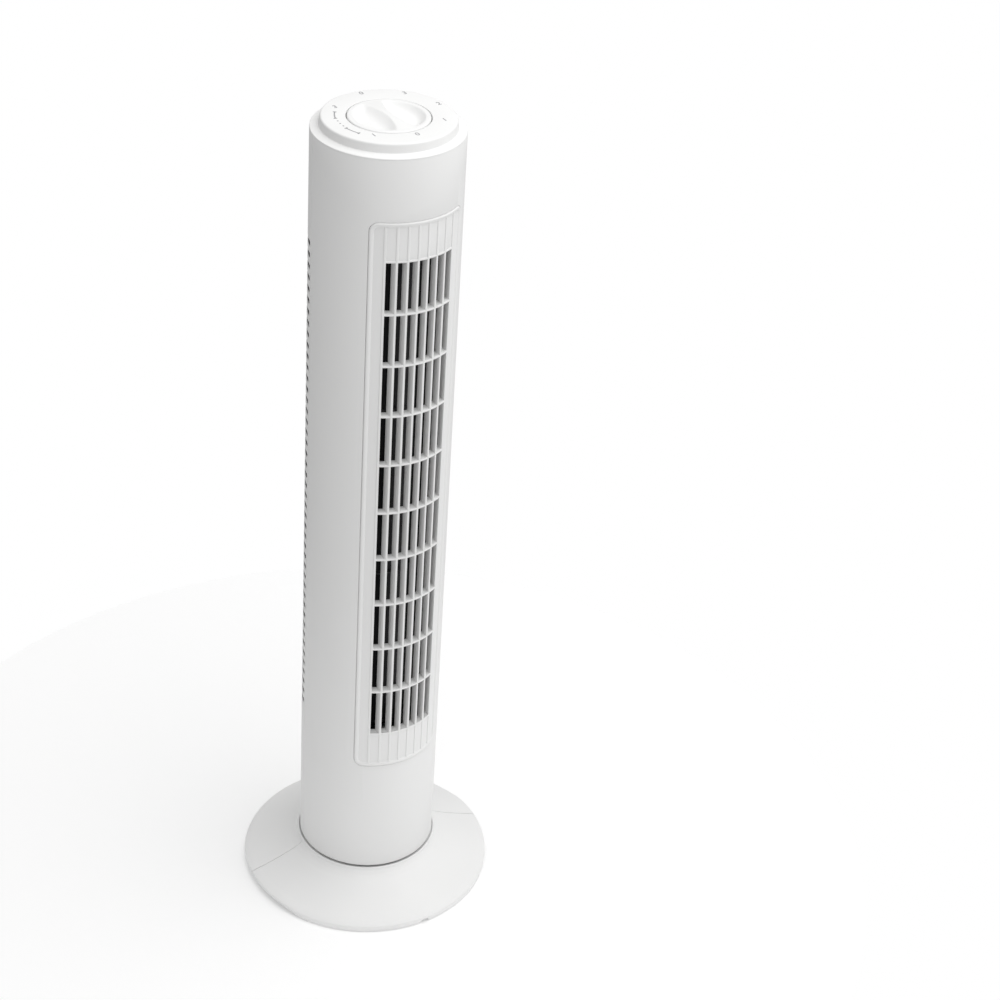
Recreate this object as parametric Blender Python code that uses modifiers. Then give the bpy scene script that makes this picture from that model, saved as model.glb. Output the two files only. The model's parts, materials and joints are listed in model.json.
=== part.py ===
"""Free-standing tower fan with an oscillating column, a cross-flow blower and a round top dial.

Metres, +Z up. The origin is on the floor at the centre of the base. At rest the outlet faces -Y,
and the base is turned a few degrees from it, because the column stands part-way through its swing.
Azimuths are in degrees from -Y towards +X, so the outlet is at 0 and the back of the column at 180.
"""

import math

import bmesh
import bpy
from mathutils import Vector

# ---------------------------------------------------------------- driving dimensions
GAP = 0.0003            # between pieces that touch

BASE_R = 0.1195
BASE_TURN = -6.6        # azimuth of the base's front
BASE_FLOOR = 0.001      # lower edge of the rim, above the floor
BASE_WALL = 0.0023
COLLAR_R = 0.067
COLLAR_TOP = 0.0345
FLANGE_TOP = 0.021      # ledge inside the base that carries the pivot plate
FLANGE_T = 0.003
FOOT_R = 0.006
FOOT_RING_R = 0.108
FOOT_AZIMUTHS = (-42, 0, 42)

COLUMN_R = 0.065
WALL = 0.0025
COLUMN_BOTTOM = 0.0363
COLUMN_TOP = 0.7773
SEAM_AZIMUTH = 101      # where the front and rear housings meet
INNER_R = COLUMN_R - WALL - 0.0008     # of the round pieces inside, clear of the casing's flats

GRILLE_HALF = 0.0434    # half its width, across the front
GRILLE_BOTTOM = 0.1595
GRILLE_TOP = 0.7225
GRILLE_CORNER = 0.009
SLOT_COLUMNS = 7
SLOT_ROWS = 10
SLOT_PITCH = 0.00915
SLOT_WIDTH = 0.0072
ROW_PITCH = 0.049
BAR_T = 0.0018
FIRST_SLOT_TOP = 0.6862
FIN_DEPTH = 0.0083

INTAKE_ROWS = 45
INTAKE_PITCH = 0.0109
INTAKE_TOP = 0.6805
INTAKE_SLOT = 0.0052
INTAKE_COLUMNS = ((103.5, 138.5), (142.5, 178), (182, 217.5), (221.5, 256.5))
SCREW_SEAT = 0.0020     # depth of the wells in the rear housing that take the screw heads
HOUSING_SCREW_HEIGHTS = (0.0435, 0.7580)
HOUSING_SCREW_AZIMUTHS = (152, 208)
SCREW_HOLE_R = 0.0019

LEDGE_R = 0.0575        # where the raised control disc stands on the top cover
DISC_R = 0.056
DISC_TOP = 0.788
WELL_R = 0.0356         # round well that holds the knob
WELL_FLOOR = 0.781
KNOB_R = 0.0347
KNOB_RIM_TOP = 0.7885
HOLLOW_FLOOR = 0.7850   # of the knob's two finger hollows
GRIP_TOP = 0.7893
SWITCH_SHAFT_R = 0.003

POST_R = 0.009          # hollow post that the column turns on
POST_BORE = 0.006
POST_TOP = 0.048
BOSS_R = 0.0152
CRANK_Y = 0.038         # axis of the oscillation motor's output shaft
CRANK_THROW = 0.020
CRANK_REST = -19.2      # crank direction from +Y at rest, so the pin stands over its slot
PIN_R = 0.0022

ROTOR_Y = 0.006         # axis of the motor and impeller
SHAFT_R = 0.004
AXLE_R = 0.003
IMPELLER_R = 0.0395
BLADE_INNER_R = 0.032
BLADES = 16
RING_R = IMPELLER_R / math.cos(math.pi / BLADES)      # corners of rings whose flats are at IMPELLER_R
IMPELLER_BOTTOM = 0.186
IMPELLER_TOP = 0.700
RING_GAPS = 3           # spans of blade between the impeller's rings
LOWER_DECK = 0.172      # underside of the plate above the motor
UPPER_DECK = 0.706      # underside of the plate above the impeller
DECK_T = 0.003
STATOR_Z = (0.122, 0.150)
STATOR_R = 0.042
MOTOR_SCREW_R = 0.0340
OSCILLATION_MOTOR_Y = 0.0340
OSCILLATION_MOTOR_Z = (0.0503, 0.0640)
STANDOFFS = (-0.0290, 0.0290)          # x of the two pillars under the oscillation motor
BASE_SCREW_R = 0.057
BASE_SCREW_AZIMUTHS = (-45, 45, 135, 225)
ARM_Z = (0.0290, 0.0330)               # lower and upper face of the crank arm
SHEET_T = 0.0016                       # of the air guide and the tongue

# ---------------------------------------------------------------- finishes: colour, roughness, metallic
WHITE_ABS = ((0.86, 0.86, 0.85), 0.42, 0.0)
GREY_ABS = ((0.55, 0.56, 0.57), 0.5, 0.0)
BLACK_PLASTIC = ((0.03, 0.03, 0.033), 0.45, 0.0)
NYLON = ((0.80, 0.79, 0.74), 0.5, 0.0)
STEEL = ((0.62, 0.62, 0.63), 0.32, 1.0)
LAMINATION = ((0.30, 0.31, 0.33), 0.45, 1.0)
COPPER = ((0.72, 0.35, 0.18), 0.35, 1.0)
RUBBER = ((0.05, 0.05, 0.05), 0.8, 0.0)


# ---------------------------------------------------------------- helpers
def collection(name):
    made = bpy.data.collections.new(name)
    bpy.context.scene.collection.children.link(made)
    return made


def empty(name, location=(0, 0, 0), turn=0.0):
    made = bpy.data.objects.new(name, None)
    made.empty_display_size = 0.03
    made.location = location
    made.rotation_euler.z = math.radians(turn)
    PARTS.objects.link(made)
    return made


def on_azimuth(radius, azimuth, z=0.0):
    angle = math.radians(azimuth)
    return Vector((radius * math.sin(angle), -radius * math.cos(angle), z))


def new_object(name, mesh):
    made = bpy.data.objects.new(name, mesh)
    PARTS.objects.link(made)
    return made


def from_bmesh(name, bm):
    bmesh.ops.recalc_face_normals(bm, faces=bm.faces)
    mesh = bpy.data.meshes.new(name)
    bm.to_mesh(mesh)
    bm.free()
    return new_object(name, mesh)


def finished(obj, finish, parent=None, smooth=35):
    """Give a sub-part its own material and its parent."""
    colour, roughness, metallic = finish
    material = bpy.data.materials.new(f"{obj.name}_material")
    material.use_nodes = True
    shader = material.node_tree.nodes["Principled BSDF"]
    shader.inputs["Base Color"].default_value = (*colour, 1.0)
    shader.inputs["Roughness"].default_value = roughness
    shader.inputs["Metallic"].default_value = metallic
    obj.data.materials.clear()
    obj.data.materials.append(material)
    obj.data.shade_smooth()
    obj.data.set_sharp_from_angle(angle=math.radians(smooth))
    obj.parent = parent
    return obj


def boolean(obj, tool, operation="DIFFERENCE"):
    """Cut, join or trim obj with tool, which then becomes a hidden guide."""
    modifier = obj.modifiers.new(operation.lower(), "BOOLEAN")
    modifier.operation = operation
    modifier.solver = "EXACT"
    modifier.object = tool
    PARTS.objects.unlink(tool)
    CUTTERS.objects.link(tool)
    tool.hide_render = True
    tool.display_type = "WIRE"
    tool.parent = None


def turned(name, profile, sides, at=(0, 0, 0)):
    """Turn a closed (radius, z) outline, listed clockwise from its top inner corner, round Z."""
    bm = bmesh.new()
    verts = [bm.verts.new((r, 0, z)) for r, z in profile]
    for here, there in zip(verts, verts[1:] + verts[:1]):
        if here.co.x > 0 or there.co.x > 0:
            bm.edges.new((here, there))
    mesh = bpy.data.meshes.new(name)
    bm.to_mesh(mesh)
    bm.free()
    made = new_object(name, mesh)
    made.location = at
    screw = made.modifiers.new("turn", "SCREW")
    screw.steps = sides
    screw.render_steps = sides
    screw.use_merge_vertices = True
    screw.merge_threshold = 0.0001
    return made


def ring(name, inner, outer, z0, z1, sides=16, at=(0, 0, 0)):
    return turned(name, [(inner, z1), (outer, z1), (outer, z0), (inner, z0)], sides, at)


def cylinder(name, radius, z0, z1, sides=16, at=(0, 0, 0)):
    bm = bmesh.new()
    bmesh.ops.create_cone(bm, cap_ends=True, segments=sides, radius1=radius, radius2=radius, depth=z1 - z0)
    made = from_bmesh(name, bm)
    made.location = Vector(at) + Vector((0, 0, (z0 + z1) / 2))
    return made


def box(name, low, high):
    bm = bmesh.new()
    bmesh.ops.create_cube(bm, size=1.0)
    low, high = Vector(low), Vector(high)
    bmesh.ops.scale(bm, vec=high - low, verts=bm.verts)
    made = from_bmesh(name, bm)
    made.location = (low + high) / 2
    return made


def plate(name, outlines, z0, z1):
    """Extrude flat closed outlines upwards from z0 to z1; outlines inside the first are holes."""
    curve = bpy.data.curves.new(name, "CURVE")
    curve.dimensions = "2D"
    curve.fill_mode = "BOTH"
    curve.extrude = (z1 - z0) / 2
    for points in outlines:
        spline = curve.splines.new("POLY")
        spline.points.add(len(points) - 1)
        for point, (x, y) in zip(spline.points, points):
            point.co = (x, y, 0, 1)
        spline.use_cyclic_u = True
    guide = bpy.data.objects.new(f"{name}_outline", curve)
    guide.location.z = (z0 + z1) / 2
    PARTS.objects.link(guide)
    bpy.context.view_layer.update()
    mesh = bpy.data.meshes.new_from_object(guide.evaluated_get(bpy.context.evaluated_depsgraph_get()))
    bm = bmesh.new()
    bm.from_mesh(mesh)
    bmesh.ops.remove_doubles(bm, verts=bm.verts, dist=0.00001)
    bmesh.ops.recalc_face_normals(bm, faces=bm.faces)
    bm.to_mesh(mesh)
    bm.free()
    made = new_object(name, mesh)
    made.matrix_world = guide.matrix_world
    bpy.data.objects.remove(guide)
    return made


def circle(radius, sides=16, centre=(0, 0)):
    steps = (2 * math.pi * i / sides for i in range(sides))
    return [(centre[0] + radius * math.cos(a), centre[1] + radius * math.sin(a)) for a in steps]


def arc(radius, start, end, steps):
    """Points (x, y) on a circle about the column's axis, from one azimuth to another."""
    turns = (start + (end - start) * i / steps for i in range(steps + 1))
    return [tuple(on_azimuth(radius, turn))[:2] for turn in turns]


def rounded_rectangle(half_width, bottom, top, radius, steps=4):
    """Points (x, z), counter-clockwise."""
    corners = ((half_width, top, 0), (-half_width, top, 90),
               (-half_width, bottom, 180), (half_width, bottom, 270))
    points = []
    for x, z, start in corners:
        centre_x = x - math.copysign(radius, x)
        centre_z = z - radius if z == top else z + radius
        for i in range(steps + 1):
            angle = math.radians(start + 90 * i / steps)
            points.append((centre_x + radius * math.cos(angle), centre_z + radius * math.sin(angle)))
    return points


def front_prism(name, outline, y0, y1):
    """Extrude an (x, z) outline along Y, for cutting through the front of the column."""
    made = plate(name, [[(x, -z) for x, z in outline]], y0, y1)
    made.data.transform(made.matrix_world)
    made.matrix_world.identity()
    for vertex in made.data.vertices:
        x, down, y = vertex.co
        vertex.co = (x, y, -down)
    bm = bmesh.new()
    bm.from_mesh(made.data)
    bmesh.ops.recalc_face_normals(bm, faces=bm.faces)
    bm.to_mesh(made.data)
    bm.free()
    return made


def screw_fastener(name, head_at, direction, length, head_h=0.0021, head_r=0.0034, shank_r=0.0015):
    """A pan-head screw driven along direction; head_at is the middle of the head's underside."""
    made = turned(name, [(0, head_h), (head_r * 0.75, head_h), (head_r, head_h * 0.35), (head_r, 0),
                         (shank_r, 0), (shank_r, -length), (0, -length)], 8)
    made.location = head_at
    made.rotation_euler = Vector(direction).to_track_quat("-Z", "Y").to_euler()
    return made


# ---------------------------------------------------------------- base
def rim_rise(azimuth):
    """0 where the rim stands on the floor, 1 in the arches on each side, near the seam."""
    away = abs(azimuth)
    up = min(max((away - 50) / 18, 0), 1)
    down = min(max((116 - away) / 14, 0), 1)
    eased = [t * t * (3 - 2 * t) for t in (up, down)]
    return min(eased)


def base_profile():
    """(radius, z) of half the base's section: over the top to the rim, then back along the underside."""
    flange_bottom = FLANGE_TOP - FLANGE_T
    top = [(COLLAR_R - 0.003, COLLAR_TOP), (COLLAR_R, COLLAR_TOP), (COLLAR_R + 0.0014, 0.0310),
           (0.0730, 0.0272), (0.0889, 0.0199), (0.1078, 0.0118), (0.1165, 0.0082),
           (BASE_R - 0.0003, 0.0064), (BASE_R, 0.0050), (BASE_R - 0.0003, BASE_FLOOR)]
    under = [(BASE_R - BASE_WALL, BASE_FLOOR), (BASE_R - BASE_WALL, 0.0048), (0.1070, 0.0094),
             (0.0880, 0.0175), (0.0665, 0.0266), (0.0665, flange_bottom), (0.0500, flange_bottom),
             (0.0500, FLANGE_TOP), (COLLAR_R - 0.003, FLANGE_TOP)]
    return top + under


def base_half(name, facing):
    """One half of the two-part base; facing is 0 for the front half and 180 for the rear half."""
    seam = math.degrees(0.00015 / BASE_R)
    bm = bmesh.new()
    section = bm.faces.new([bm.verts.new(on_azimuth(r, facing - 90 + seam, z)) for r, z in base_profile()])
    bmesh.ops.spin(bm, geom=[section], axis=(0, 0, 1), cent=(0, 0, 0), steps=15,
                   angle=math.radians(180 - 2 * seam))
    arch_start = 0.100
    for vertex in bm.verts:
        x, y, z = vertex.co
        outward = min(max((math.hypot(x, y) - arch_start) / (BASE_R - arch_start), 0), 1)
        azimuth = math.degrees(math.atan2(x, -y))
        lift = 0.0055 if z < 0.0030 else 0.0030
        vertex.co.z += lift * rim_rise(azimuth) * outward
    half = from_bmesh(name, bm)
    for turn in FOOT_AZIMUTHS:
        boss = cylinder(f"{name}_foot_boss", FOOT_R + 0.0005, 0.0020, 0.0088, 12,
                        on_azimuth(FOOT_RING_R, facing + turn))
        boolean(half, boss, "UNION")
    for turn in BASE_SCREW_AZIMUTHS[:2]:
        boolean(half, cylinder(f"{name}_screw_hole", SCREW_HOLE_R, 0.010, 0.030, 10,
                               on_azimuth(BASE_SCREW_R, facing + turn)))
    if facing:
        boolean(half, box("cord_notch", (-0.0045, 0.100, -0.010), (0.0045, 0.130, 0.0045)))
    return half


def make_base():
    frame = empty("base_frame", turn=BASE_TURN)
    for name, facing in (("base_front", 0), ("base_rear", 180)):
        half = finished(base_half(name, facing), WHITE_ABS, frame)
        for modifier in half.modifiers:
            modifier.object.parent = frame
    for number, turn in enumerate(t + facing for facing in (0, 180) for t in FOOT_AZIMUTHS):
        foot = cylinder(f"foot_{number + 1}", FOOT_R, 0.0, 0.0020 - GAP, 12, on_azimuth(FOOT_RING_R, turn))
        finished(foot, RUBBER, frame)
    for number, turn in enumerate(BASE_SCREW_AZIMUTHS):
        head = on_azimuth(BASE_SCREW_R, turn, FLANGE_TOP - FLANGE_T - GAP)
        finished(screw_fastener(f"base_screw_{number + 1}", head, (0, 0, 1), 0.006), STEEL, frame)
    finished(pivot_plate(frame), WHITE_ABS, frame)
    finished(ring("slide_washer", POST_R + 0.0004, BOSS_R - 0.0002, 0.0350, 0.0360), NYLON, frame)
    finished(ring("retaining_ring", POST_R + GAP, 0.016, 0.0443, 0.0473), STEEL, frame)
    cord_r, sleeve_r = 0.0036, POST_BORE - GAP
    grommet = turned("cord_grommet", [(cord_r, 0.030), (sleeve_r, 0.030), (sleeve_r, FLANGE_TOP),
                                      (0.0085, FLANGE_TOP), (0.0085, 0.0185), (cord_r, 0.0185)], 16)
    finished(grommet, RUBBER, frame)


def pivot_plate(frame):
    """Plate screwed to both base halves, with the hollow post and the slot for the crank pin."""
    z0, z1 = FLANGE_TOP + GAP, FLANGE_TOP + GAP + 0.004
    outer = COLLAR_R - 0.004
    boss_top = 0.0347
    made = turned("pivot_plate", [(POST_BORE, POST_TOP), (POST_R, POST_TOP), (POST_R, boss_top),
                                  (BOSS_R, boss_top), (BOSS_R, z1), (outer, z1), (outer, z0),
                                  (POST_BORE, z0)], 24)
    slot_half = PIN_R + 0.0004
    slot = box("crank_slot", (-slot_half, 0.0158, z0 - 0.01), (slot_half, 0.0605, z1 + 0.005))
    tools = [slot]
    for turn in BASE_SCREW_AZIMUTHS:
        tools.append(cylinder("plate_screw_hole", SCREW_HOLE_R, z0 - 0.01, z1 + 0.01, 10,
                              on_azimuth(BASE_SCREW_R, turn)))
    for tool in tools:
        boolean(made, tool)
        tool.parent = frame
    return made


# ---------------------------------------------------------------- column casing
def front_housing():
    outside = arc(COLUMN_R, -SEAM_AZIMUTH, SEAM_AZIMUTH, 26)
    inside = arc(COLUMN_R - WALL, SEAM_AZIMUTH, -SEAM_AZIMUTH, 26)
    made = plate("front_housing", [outside + inside], COLUMN_BOTTOM, COLUMN_TOP)
    window = rounded_rectangle(GRILLE_HALF + GAP, GRILLE_BOTTOM - GAP, GRILLE_TOP + GAP, GRILLE_CORNER)
    boolean(made, front_prism("grille_window", window, -0.080, -0.030))
    return made


def rear_housing():
    """Curved grid with the intake slots left out, thickened inwards."""
    azimuths = [SEAM_AZIMUTH + math.degrees(GAP / COLUMN_R)]
    slot_columns = set()
    for start, end in INTAKE_COLUMNS:
        slot_columns.update((len(azimuths), len(azimuths) + 1))
        azimuths += [start, (start + end) / 2, end]
    azimuths.append(360 - azimuths[0])
    heights = [COLUMN_TOP]
    for row in range(INTAKE_ROWS):
        top = INTAKE_TOP - row * INTAKE_PITCH
        heights += [top, top - INTAKE_SLOT]
    heights.append(COLUMN_BOTTOM)

    columns, rows = len(azimuths) - 1, len(heights) - 1
    bm = bmesh.new()
    bmesh.ops.create_grid(bm, x_segments=columns, y_segments=rows, size=0.5)
    slots = []
    for face in bm.faces:
        middle = face.calc_center_median()
        column = int((middle.x + 0.5) * columns)
        row = int((middle.y + 0.5) * rows)
        if column in slot_columns and row % 2 == 1:
            slots.append(face)
    for vertex in bm.verts:
        column = round((vertex.co.x + 0.5) * columns)
        row = round((vertex.co.y + 0.5) * rows)
        vertex.co = on_azimuth(COLUMN_R, azimuths[column], heights[row])
    bmesh.ops.delete(bm, geom=slots, context="FACES")
    bmesh.ops.recalc_face_normals(bm, faces=bm.faces)
    first = next(iter(bm.faces))
    centre = first.calc_center_median()
    if first.normal.x * centre.x + first.normal.y * centre.y < 0:
        bmesh.ops.reverse_faces(bm, faces=bm.faces)
    mesh = bpy.data.meshes.new("rear_housing")
    bm.to_mesh(mesh)
    bm.free()
    made = new_object("rear_housing", mesh)
    shell = made.modifiers.new("wall", "SOLIDIFY")
    shell.thickness = WALL
    shell.offset = -1
    shell.use_even_offset = True
    for point, direction in HOUSING_SCREWS:
        for radius, deep in ((0.0041, SCREW_SEAT), (SCREW_HOLE_R, 0.006)):
            hole = cylinder("housing_screw_hole", radius, -0.005, deep, 12)
            hole.location = point + direction * (deep - 0.005) / 2
            hole.rotation_euler = direction.to_track_quat("Z", "Y").to_euler()
            boolean(made, hole)
    return made


def outlet_grille():
    """Curved insert with seven columns of slots, cut straight through from the front."""
    fins = [(i - SLOT_COLUMNS / 2) * SLOT_PITCH for i in range(SLOT_COLUMNS + 1)]
    edges = [-0.050, -0.0385] + fins + [0.0385, 0.050]

    def front_arc(xs, radius):
        return [(x, -math.sqrt(radius ** 2 - x ** 2)) for x in xs]

    outer, inner = front_arc(edges, COLUMN_R), front_arc(edges, COLUMN_R - WALL)
    made = plate("outlet_grille", [outer + inner[::-1]], GRILLE_BOTTOM - 0.005, GRILLE_TOP + 0.005)
    trim = rounded_rectangle(GRILLE_HALF, GRILLE_BOTTOM, GRILLE_TOP, GRILLE_CORNER)
    boolean(made, front_prism("grille_trim", trim, -0.080, -0.030), "INTERSECT")

    jamb = SLOT_PITCH * SLOT_COLUMNS / 2 + 0.001
    spans = [-jamb] + fins[1:-1] + [jamb]
    front = front_arc(spans, COLUMN_R - WALL / 2)
    back = [(x, y + FIN_DEPTH - WALL / 2) for x, y in front]
    last_slot_bottom = FIRST_SLOT_TOP - SLOT_ROWS * ROW_PITCH + BAR_T
    lattice = plate("grille_lattice", [front + back[::-1]],
                    last_slot_bottom - BAR_T, FIRST_SLOT_TOP + BAR_T)
    boolean(made, lattice, "UNION")

    bm = bmesh.new()
    for column in range(SLOT_COLUMNS):
        for row in range(SLOT_ROWS):
            x = (column - (SLOT_COLUMNS - 1) / 2) * SLOT_PITCH
            top = FIRST_SLOT_TOP - row * ROW_PITCH
            height = ROW_PITCH - BAR_T
            cube = bmesh.ops.create_cube(bm, size=1.0)["verts"]
            bmesh.ops.scale(bm, vec=(SLOT_WIDTH, 0.045, height), verts=cube)
            bmesh.ops.translate(bm, vec=(x, -0.055, top - height / 2), verts=cube)
    boolean(made, from_bmesh("grille_slots", bm))
    return made


def top_cover():
    profile = [(0.0050, WELL_FLOOR), (WELL_R, WELL_FLOOR),
               (WELL_R, DISC_TOP - 0.0004), (WELL_R + 0.0006, DISC_TOP),
               (DISC_R - 0.0010, DISC_TOP), (DISC_R + 0.0006, DISC_TOP - 0.0016), (LEDGE_R, 0.7806),
               (LEDGE_R + 0.0004, 0.7799), (COLUMN_R - 0.0010, 0.7788), (COLUMN_R, 0.7779),
               (COLUMN_R, COLUMN_TOP + GAP), (INNER_R, COLUMN_TOP + GAP), (INNER_R, 0.7680),
               (0.0602, 0.7680), (0.0602, 0.7765), (0.0550, 0.7765), (0.0546, DISC_TOP - WALL),
               (0.0380, DISC_TOP - WALL),
               (0.0380, WELL_FLOOR - WALL), (0.0050, WELL_FLOOR - WALL)]
    made = turned("top_cover", profile, 24)
    for (point, direction) in HOUSING_SCREWS[2:]:
        add_screw_lug(made, point, direction, "top_lug", top=0.7720)
    return made


def add_screw_lug(obj, point, direction, name, top=None, bottom=None):
    """A block behind the rear housing for a screw; it joins the piece above it or below it."""
    low = bottom if bottom is not None else point.z - 0.006
    high = top if top is not None else point.z + 0.006
    lug = box(name, (-0.006, 0, low), (0.006, 0.011, high))
    lug.location = on_azimuth(INNER_R - 0.0062, azimuth_of(point), (low + high) / 2)
    lug.rotation_euler.z = math.radians(azimuth_of(point))
    boolean(obj, lug, "UNION")
    hole = cylinder(f"{name}_hole", 0.0018, 0.0, 0.012, 10)
    hole.location = point + direction * 0.006
    hole.rotation_euler = direction.to_track_quat("Z", "Y").to_euler()
    boolean(obj, hole)


def azimuth_of(point):
    return math.degrees(math.atan2(point.x, -point.y))


def turntable():
    """Floor of the column, which turns on the base's post and carries the oscillation motor."""
    z0, z1 = COLUMN_BOTTOM, COLUMN_BOTTOM + 0.004
    bore, hub_r, hub_top = POST_R + 0.0005, 0.0150, 0.0440
    made = turned("turntable", [(bore, hub_top), (hub_r, hub_top), (hub_r, z1), (INNER_R, z1),
                                (INNER_R, z0), (bore, z0)], 24)
    for x in STANDOFFS:
        at = (x, OSCILLATION_MOTOR_Y, 0)
        standoff = cylinder("standoff", 0.0036, z1 - 0.002, OSCILLATION_MOTOR_Z[0] - GAP, 12, at)
        boolean(made, standoff, "UNION")
        boolean(made, cylinder("standoff_hole", 0.0018, z1 + 0.002, 0.0520, 10, at))
    boolean(made, cylinder("crank_shaft_hole", 0.0075, z0 - 0.005, z1 + 0.005, 14, (0, CRANK_Y, 0)))
    for (point, direction) in HOUSING_SCREWS[:2]:
        add_screw_lug(made, point, direction, "floor_lug", bottom=z1 - 0.002)
    return made


def deck(name, z, hole_r, screws=0):
    """A round plate across the column, with screw holes round its centre."""
    holes = [circle(hole_r, 20, (0, ROTOR_Y))]
    for i in range(screws):
        x, y = on_azimuth(MOTOR_SCREW_R, 360 * i / screws)[:2]
        holes.append(circle(SCREW_HOLE_R, 10, (x, y + ROTOR_Y)))
    return plate(name, [circle(INNER_R, 32)] + holes, z, z + DECK_T)


def make_casing(frame):
    finished(front_housing(), WHITE_ABS, frame)
    finished(rear_housing(), WHITE_ABS, frame)
    finished(outlet_grille(), WHITE_ABS, frame)
    finished(top_cover(), WHITE_ABS, frame)
    finished(turntable(), WHITE_ABS, frame)
    finished(deck("lower_deck", LOWER_DECK, 0.0095, screws=3), BLACK_PLASTIC, frame)
    finished(deck("upper_deck", UPPER_DECK, 0.0105), BLACK_PLASTIC, frame)
    for number, (point, direction) in enumerate(HOUSING_SCREWS):
        head = point + direction * (SCREW_SEAT - GAP)
        screw = screw_fastener(f"housing_screw_{number + 1}", head, direction, 0.009, 0.0015)
        finished(screw, STEEL, frame)


# ---------------------------------------------------------------- blower
def spiral(start, end, r_start, r_end, steps):
    """Points round the impeller whose distance from its axis grows evenly."""
    points = []
    for i in range(steps + 1):
        t = i / steps
        x, y = on_azimuth(r_start + (r_end - r_start) * t, start + (end - start) * t)[:2]
        points.append(Vector((x, y + ROTOR_Y)))
    return points


def sheet_outline(points, thickness):
    """A closed outline of the given thickness about a line of points."""
    left, right = [], []
    for i, point in enumerate(points):
        along = (points[min(i + 1, len(points) - 1)] - points[max(i - 1, 0)]).normalized()
        side = Vector((-along.y, along.x)) * thickness / 2
        left.append(tuple(point + side))
        right.append(tuple(point - side))
    return left + right[::-1]


def impeller():
    """Cross-flow wheel: blades between rings, with a hub disc at each end."""
    ring_t = 0.002
    bm = bmesh.new()
    chord = IMPELLER_R - BLADE_INNER_R
    for blade in range(BLADES):
        turn = 360 * blade / BLADES
        root = on_azimuth(BLADE_INNER_R + 0.0006, turn)
        tip = on_azimuth(IMPELLER_R - 0.0010, turn + math.degrees(chord * 0.9 / IMPELLER_R))
        side = (tip - root).cross(Vector((0, 0, 1))).normalized() * 0.0006
        bottom = IMPELLER_BOTTOM + ring_t / 2
        face = bm.faces.new([bm.verts.new(Vector(p) + Vector((0, 0, bottom)))
                             for p in (root - side, tip - side, tip + side, root + side)])
        up = bmesh.ops.extrude_face_region(bm, geom=[face])["geom"]
        moved = [v for v in up if isinstance(v, bmesh.types.BMVert)]
        bmesh.ops.translate(bm, vec=(0, 0, IMPELLER_TOP - IMPELLER_BOTTOM - ring_t), verts=moved)
    blades = from_bmesh("impeller_blades", bm)

    hub_r, hub_l = 0.009, 0.012
    made = turned("impeller", [(SHAFT_R + GAP, IMPELLER_BOTTOM + hub_l), (hub_r, IMPELLER_BOTTOM + hub_l),
                               (hub_r, IMPELLER_BOTTOM + ring_t), (RING_R, IMPELLER_BOTTOM + ring_t),
                               (RING_R, IMPELLER_BOTTOM), (SHAFT_R + GAP, IMPELLER_BOTTOM)], BLADES)
    top = turned("impeller_top", [(AXLE_R + GAP, IMPELLER_TOP), (RING_R, IMPELLER_TOP),
                                  (RING_R, IMPELLER_TOP - ring_t), (hub_r, IMPELLER_TOP - ring_t),
                                  (hub_r, IMPELLER_TOP - hub_l),
                                  (AXLE_R + GAP, IMPELLER_TOP - hub_l)], BLADES)
    boolean(made, blades, "UNION")
    boolean(made, top, "UNION")
    span = (IMPELLER_TOP - IMPELLER_BOTTOM) / RING_GAPS
    for i in range(1, RING_GAPS):
        z = IMPELLER_BOTTOM + i * span
        boolean(made, ring("impeller_ring", BLADE_INNER_R - 0.001, RING_R, z - ring_t / 2, z + ring_t / 2,
                           BLADES), "UNION")
    return made


def make_blower(frame, rotor):
    z0, z1 = LOWER_DECK + DECK_T + GAP, UPPER_DECK - GAP
    near = IMPELLER_R + 0.003
    guide = spiral(-152, -52, near, 0.0535, 12) + [Vector((-0.0385, -0.0355)), Vector((-0.0375, -0.0455))]
    finished(plate("air_guide", [sheet_outline(guide, SHEET_T)], z0, z1), BLACK_PLASTIC, frame)
    tongue = [Vector((0.0375, -0.0455)), Vector((0.0385, -0.0290))] + spiral(52, 70, 0.0450, near, 3)
    finished(plate("vortex_tongue", [sheet_outline(tongue, SHEET_T)], z0, z1), BLACK_PLASTIC, frame)

    wheel = finished(impeller(), BLACK_PLASTIC, rotor)
    for modifier in wheel.modifiers:
        if modifier.type == "BOOLEAN":
            modifier.object.parent = rotor
    finished(cylinder("motor_shaft", SHAFT_R, 0.100, IMPELLER_BOTTOM + 0.010, 16), STEEL, rotor)
    core = ring("motor_rotor", SHAFT_R + GAP, 0.0235, *STATOR_Z)
    finished(core, LAMINATION, rotor)
    finished(cylinder("impeller_axle", AXLE_R, IMPELLER_TOP - 0.010, 0.7165, 16), STEEL, rotor)

    at = (0, ROTOR_Y, 0)
    top = UPPER_DECK + DECK_T + GAP
    holder = turned("bearing_holder", [(0.0110, top + 0.009), (0.0135, top + 0.009), (0.0135, top + 0.002),
                                       (0.0200, top + 0.002), (0.0200, top), (0.0110, top)], 16, at)
    finished(holder, GREY_ABS, frame)
    finished(ring("bearing_bush", AXLE_R + GAP, 0.0110 - GAP, top, top + 0.0065, 20, at), RUBBER, frame)


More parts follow.
